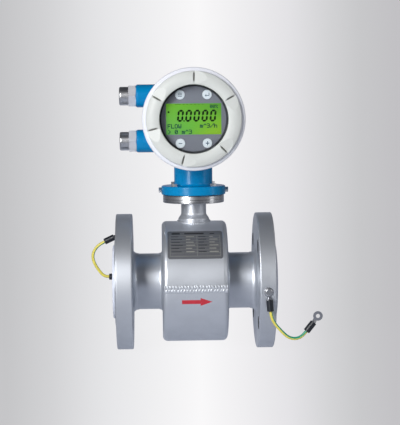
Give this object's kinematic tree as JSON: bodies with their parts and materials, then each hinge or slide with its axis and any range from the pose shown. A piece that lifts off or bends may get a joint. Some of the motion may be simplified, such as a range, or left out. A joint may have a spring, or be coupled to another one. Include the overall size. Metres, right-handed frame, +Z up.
{
  "type": "electromagnetic flow meter",
  "caption": "Flanged electromagnetic flow meter: lined measuring tube in a round coil drum, with a two-chamber display head on a neck, cable glands and earth straps.",
  "frame": {"origin": "middle of the flow bore, halfway between the sealing faces", "axes": "+X is the flow direction, -Y the display side, +Z up along the neck"},
  "size_m": [0.3108, 0.2018, 0.3828],
  "materials": {
    "silver_paint": "satin silver-grey paint on welded steel",
    "liner": "smooth milky fluoropolymer liner",
    "pole_iron": "bare soft iron",
    "coil_winding": "varnished copper winding",
    "stainless": "turned and polished stainless steel",
    "bush_plastic": "insulating plastic and potting",
    "black_rubber": "soft black rubber",
    "harness_sheath": "round cable sheath",
    "black_plastic": "black moulded plastic",
    "blue_paint": "glossy blue powder coat on a casting",
    "cream_paint": "glossy cream-white coat on a casting",
    "window_glass": "clear toughened window",
    "panel_plastic": "matt grey front foil",
    "lcd_green": "green backlit display",
    "key_white": "smooth white key caps",
    "board_green": "circuit board with green resist",
    "post_brass": "turned brass posts",
    "terminal_plastic": "green moulded terminal body",
    "screw_zinc": "zinc-plated steel",
    "nickel": "polished nickel plate on brass",
    "nameplate_metal": "dark anodised plate, blank",
    "wire_sheath": "yellow sheath with a green stripe",
    "shrink_sleeve": "black heat-shrink sleeve",
    "tinned_lug": "tinned copper lug"
  },
  "bodies": {
    "meter": {"inlet_flange": "silver_paint", "outlet_flange": "silver_paint", "measuring_tube": "silver_paint", "coil_housing": "silver_paint", "neck_tube": "silver_paint", "liner": "liner", "upper_pole": "pole_iron", "lower_pole": "pole_iron", "yoke_band": "pole_iron", "upper_coil": "coil_winding", "lower_coil": "coil_winding", "front_electrode": "stainless", "rear_electrode": "stainless", "electrode_nuts": "stainless", "neck_disc": "stainless", "neck_bolts": "stainless", "side_screws": "stainless", "inlet_earth_screw": "stainless", "outlet_earth_screw": "stainless", "electrode_bushes": "bush_plastic", "neck_plug": "bush_plastic", "neck_gasket": "black_rubber", "upper_gland_seal": "black_rubber", "lower_gland_seal": "black_rubber", "signal_harness": "harness_sheath", "harness_socket": "black_plastic", "power_module": "black_plastic", "key_switches": "black_plastic", "head_housing": "blue_paint", "display_panel": "panel_plastic", "lcd_module": "lcd_green", "display_board": "board_green", "main_board": "board_green", "board_posts": "post_brass", "terminal_block": "terminal_plastic", "terminal_screws": "screw_zinc", "upper_gland_body": "nickel", "lower_gland_body": "nickel", "nameplate": "nameplate_metal", "inlet_strap_wire": "wire_sheath", "outlet_strap_wire": "wire_sheath", "inlet_strap_sleeves": "shrink_sleeve", "outlet_strap_sleeves": "shrink_sleeve", "inlet_strap_lugs": "tinned_lug", "outlet_strap_lugs": "tinned_lug"},
    "front_seal": {"front_o_ring": "black_rubber"},
    "front_cover": {"front_cover": "cream_paint", "window_gasket": "black_rubber", "window_glass": "window_glass", "window_retainer": "black_plastic"},
    "rear_seal": {"rear_o_ring": "black_rubber"},
    "rear_cover": {"rear_cover": "cream_paint"},
    "upper_gland_nut": {"upper_gland_nut": "nickel"},
    "lower_gland_nut": {"lower_gland_nut": "nickel"},
    "menu_key": {"menu_key": "key_white"},
    "enter_key": {"enter_key": "key_white"},
    "minus_key": {"minus_key": "key_white"},
    "plus_key": {"plus_key": "key_white"}
  },
  "joints": [
    {"name": "front_cover_travel", "type": "slide", "parent": "meter", "child": "front_seal", "axis": [0, -1, 0], "range_m": [0, 0.0101]},
    {"name": "front_cover_turn", "type": "hinge", "parent": "front_seal", "child": "front_cover", "pos_m": [0, -0.058, 0.222], "axis": [0, -1, 0], "range_deg": [0, 1800]},
    {"name": "rear_cover_travel", "type": "slide", "parent": "meter", "child": "rear_seal", "axis": [0, 1, 0], "range_m": [0, 0.0101]},
    {"name": "rear_cover_turn", "type": "hinge", "parent": "rear_seal", "child": "rear_cover", "pos_m": [0, 0.058, 0.222], "axis": [0, 1, 0], "range_deg": [0, 1800]},
    {"name": "upper_gland_nut_turn", "type": "hinge", "parent": "meter", "child": "upper_gland_nut", "pos_m": [-0.09, 0.03, 0.253], "axis": [-1, 0, 0], "range_deg": [0, 180]},
    {"name": "lower_gland_nut_turn", "type": "hinge", "parent": "meter", "child": "lower_gland_nut", "pos_m": [-0.09, 0.03, 0.191], "axis": [-1, 0, 0], "range_deg": [0, 180]},
    {"name": "menu_key_press", "type": "slide", "parent": "meter", "child": "menu_key", "axis": [0, 1, 0], "range_m": [0, 0.0005], "stiffness_N_per_m": 2500, "springref_m": -0.0002},
    {"name": "enter_key_press", "type": "slide", "parent": "meter", "child": "enter_key", "axis": [0, 1, 0], "range_m": [0, 0.0005], "stiffness_N_per_m": 2500, "springref_m": -0.0002},
    {"name": "minus_key_press", "type": "slide", "parent": "meter", "child": "minus_key", "axis": [0, 1, 0], "range_m": [0, 0.0005], "stiffness_N_per_m": 2500, "springref_m": -0.0002},
    {"name": "plus_key_press", "type": "slide", "parent": "meter", "child": "plus_key", "axis": [0, 1, 0], "range_m": [0, 0.0005], "stiffness_N_per_m": 2500, "springref_m": -0.0002}
  ],
  "couplings": [
    {"joint": "front_cover_travel", "follows": "front_cover_turn", "m_per_rad": 0.00031831},
    {"joint": "rear_cover_travel", "follows": "rear_cover_turn", "m_per_rad": 0.00031831}
  ]
}
